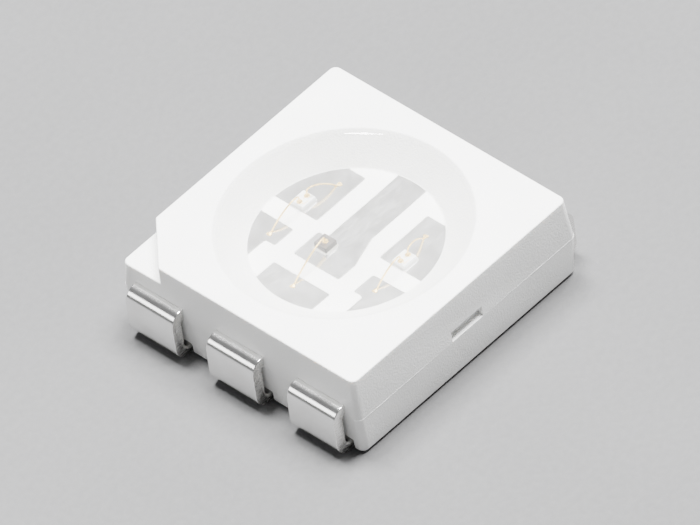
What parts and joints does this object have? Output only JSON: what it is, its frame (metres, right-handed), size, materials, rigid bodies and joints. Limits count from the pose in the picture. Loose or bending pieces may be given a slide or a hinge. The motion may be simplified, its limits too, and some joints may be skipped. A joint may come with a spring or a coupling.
{
  "type": "smd led",
  "caption": "Surface-mount multi-colour LED: square white moulded body with a round resin-filled reflector cup, cut corner and leads folded under to solder feet.",
  "frame": {"origin": "on the board plane, under the middle of the body", "axes": "+Z from the board to the light-emitting face; +X across the body between the two rows of leads; +Y along the rows of leads; the cut corner and lead 1 are at -X +Y, and the leads are numbered anticlockwise from there as seen from above"},
  "size_m": [0.0054, 0.005, 0.0016],
  "materials": {
    "white_plastic": "white filled nylon, fine moulded satin",
    "clear_resin": "clear cast resin, glossy",
    "plated_leads": "silver-plated copper alloy, satin",
    "chip_green": "sapphire chip, polished, with gold contacts",
    "chip_blue": "sapphire chip, polished, with gold contacts",
    "chip_red": "dark red semiconductor chip with one gold contact",
    "clear_adhesive": "cured clear adhesive",
    "silver_adhesive": "cured silver-filled adhesive",
    "gold_wire": "bright gold wire"
  },
  "bodies": {
    "root": {"die_attach_blue": "clear_adhesive", "die_attach_green": "clear_adhesive", "die_attach_red": "silver_adhesive", "die_blue": "chip_blue", "die_green": "chip_green", "die_red": "chip_red", "encapsulant": "clear_resin", "housing": "white_plastic", "lead_1": "plated_leads", "lead_2": "plated_leads", "lead_3": "plated_leads", "lead_4": "plated_leads", "lead_5": "plated_leads", "lead_6": "plated_leads", "wire_blue_1": "gold_wire", "wire_blue_2": "gold_wire", "wire_green_1": "gold_wire", "wire_green_2": "gold_wire", "wire_red": "gold_wire"}
  },
  "joints": []
}
